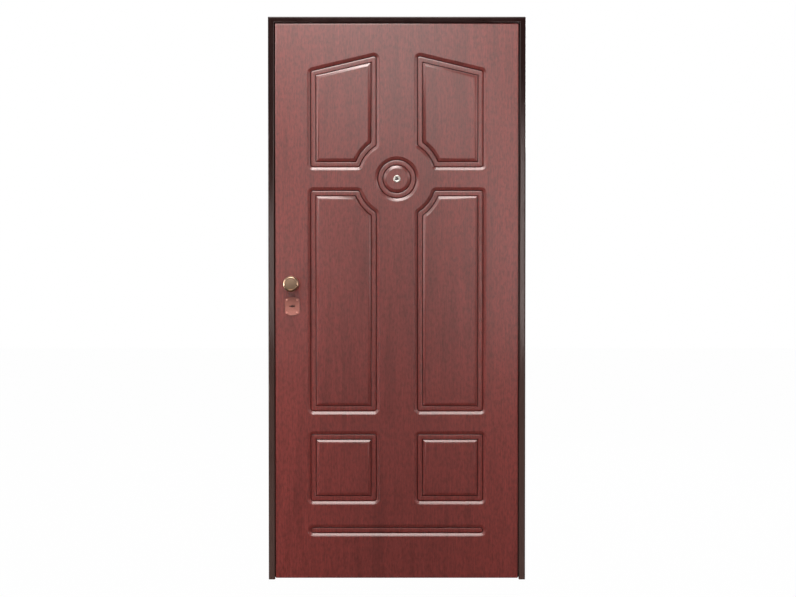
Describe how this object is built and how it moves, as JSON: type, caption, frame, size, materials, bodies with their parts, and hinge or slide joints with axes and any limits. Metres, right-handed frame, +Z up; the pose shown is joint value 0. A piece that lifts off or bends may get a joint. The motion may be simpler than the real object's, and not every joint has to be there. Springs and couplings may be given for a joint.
{
  "type": "panelled front door",
  "caption": "Steel front door leaf with a moulded wood-grain panel, pull knob, key plate and viewer, hung on hinges in a slim pressed-steel frame.",
  "frame": {"origin": "on the floor, in the middle of the frame width and of the depth between knob and lever", "axes": "+X from the lock side to the hinge side, -Y towards the outside, +Z up"},
  "size_m": [0.937, 0.21, 2.05],
  "materials": {
    "frame_paint": "semi-gloss dark brown powder coat",
    "hinge_paint": "dark brown powder coat",
    "seal_rubber": "matt black rubber",
    "plated_steel": "zinc-plated steel",
    "washer_brass": "plain brass",
    "wood_panel": "semi-gloss reddish brown wood grain",
    "insulation_wool": "mineral wool",
    "aged_bronze": "satin aged bronze",
    "copper_plate": "satin copper bronze",
    "viewer_metal": "pale polished metal",
    "viewer_glass": "clear lens"
  },
  "bodies": {
    "frame": {"lock_jamb": "frame_paint", "hinge_jamb": "frame_paint", "frame_head": "frame_paint", "corner_cleats": "plated_steel", "lock_side_seal": "seal_rubber", "hinge_side_seal": "seal_rubber", "head_seal": "seal_rubber", "keep_plate": "plated_steel", "keep_screws": "plated_steel", "lower_hinge_frame_knuckle": "hinge_paint", "lower_hinge_pin": "plated_steel", "lower_hinge_washer": "washer_brass", "middle_hinge_frame_knuckle": "hinge_paint", "middle_hinge_pin": "plated_steel", "middle_hinge_washer": "washer_brass", "upper_hinge_frame_knuckle": "hinge_paint", "upper_hinge_pin": "plated_steel", "upper_hinge_washer": "washer_brass"},
    "lever": {"lever_handle": "aged_bronze", "lever_spindle": "plated_steel", "latch_follower": "plated_steel"},
    "latch": {"latch_bolt": "plated_steel"},
    "bolts": {"dead_bolts": "plated_steel", "bolt_carriage": "plated_steel"},
    "rod": {"upper_rod": "plated_steel"},
    "leaf": {"leaf_shell": "frame_paint", "leaf_cover": "frame_paint", "lower_hinge_leaf_knuckle": "hinge_paint", "middle_hinge_leaf_knuckle": "hinge_paint", "upper_hinge_leaf_knuckle": "hinge_paint", "hinge_screws": "plated_steel", "fixed_hinge_bolts": "plated_steel", "stiffeners": "plated_steel", "lock_case": "plated_steel", "lock_cover": "plated_steel", "lock_faceplate": "plated_steel", "faceplate_screws": "plated_steel", "knob_stud": "plated_steel", "knob_nut": "plated_steel", "rod_guide": "plated_steel", "outer_panel": "wood_panel", "inner_panel": "wood_panel", "insulation": "insulation_wool", "knob": "aged_bronze", "knob_rose": "aged_bronze", "lever_rose": "aged_bronze", "inner_key_plate": "aged_bronze", "inner_key_screws": "aged_bronze", "defender_plate": "copper_plate", "defender_screws": "copper_plate", "viewer_barrel": "viewer_metal", "viewer_eyepiece": "viewer_metal", "viewer_lens": "viewer_glass"}
  },
  "joints": [
    {"name": "leaf_swing", "type": "hinge", "parent": "frame", "child": "leaf", "pos_m": [0.456, 0.0515, 0], "axis": [0, 0, -1], "range_deg": [0, 110]},
    {"name": "lever_turn", "type": "hinge", "parent": "leaf", "child": "lever", "pos_m": [-0.3815, 0.075, 1.08], "axis": [0, 1, 0], "range_deg": [0, 45], "stiffness_Nm_per_rad": 1.5, "springref_deg": -20.05},
    {"name": "latch_slide", "type": "slide", "parent": "leaf", "child": "latch", "axis": [-1, 0, 0], "range_m": [0, 0.011]},
    {"name": "rod_lift", "type": "slide", "parent": "leaf", "child": "rod", "axis": [0, 0, 1], "range_m": [0, 0.014]},
    {"name": "bolt_throw", "type": "slide", "parent": "leaf", "child": "bolts", "axis": [-1, 0, 0], "range_m": [0, 0.014]}
  ],
  "couplings": [
    {"joint": "bolt_throw", "follows": "rod_lift", "ratio": 1}
  ]
}
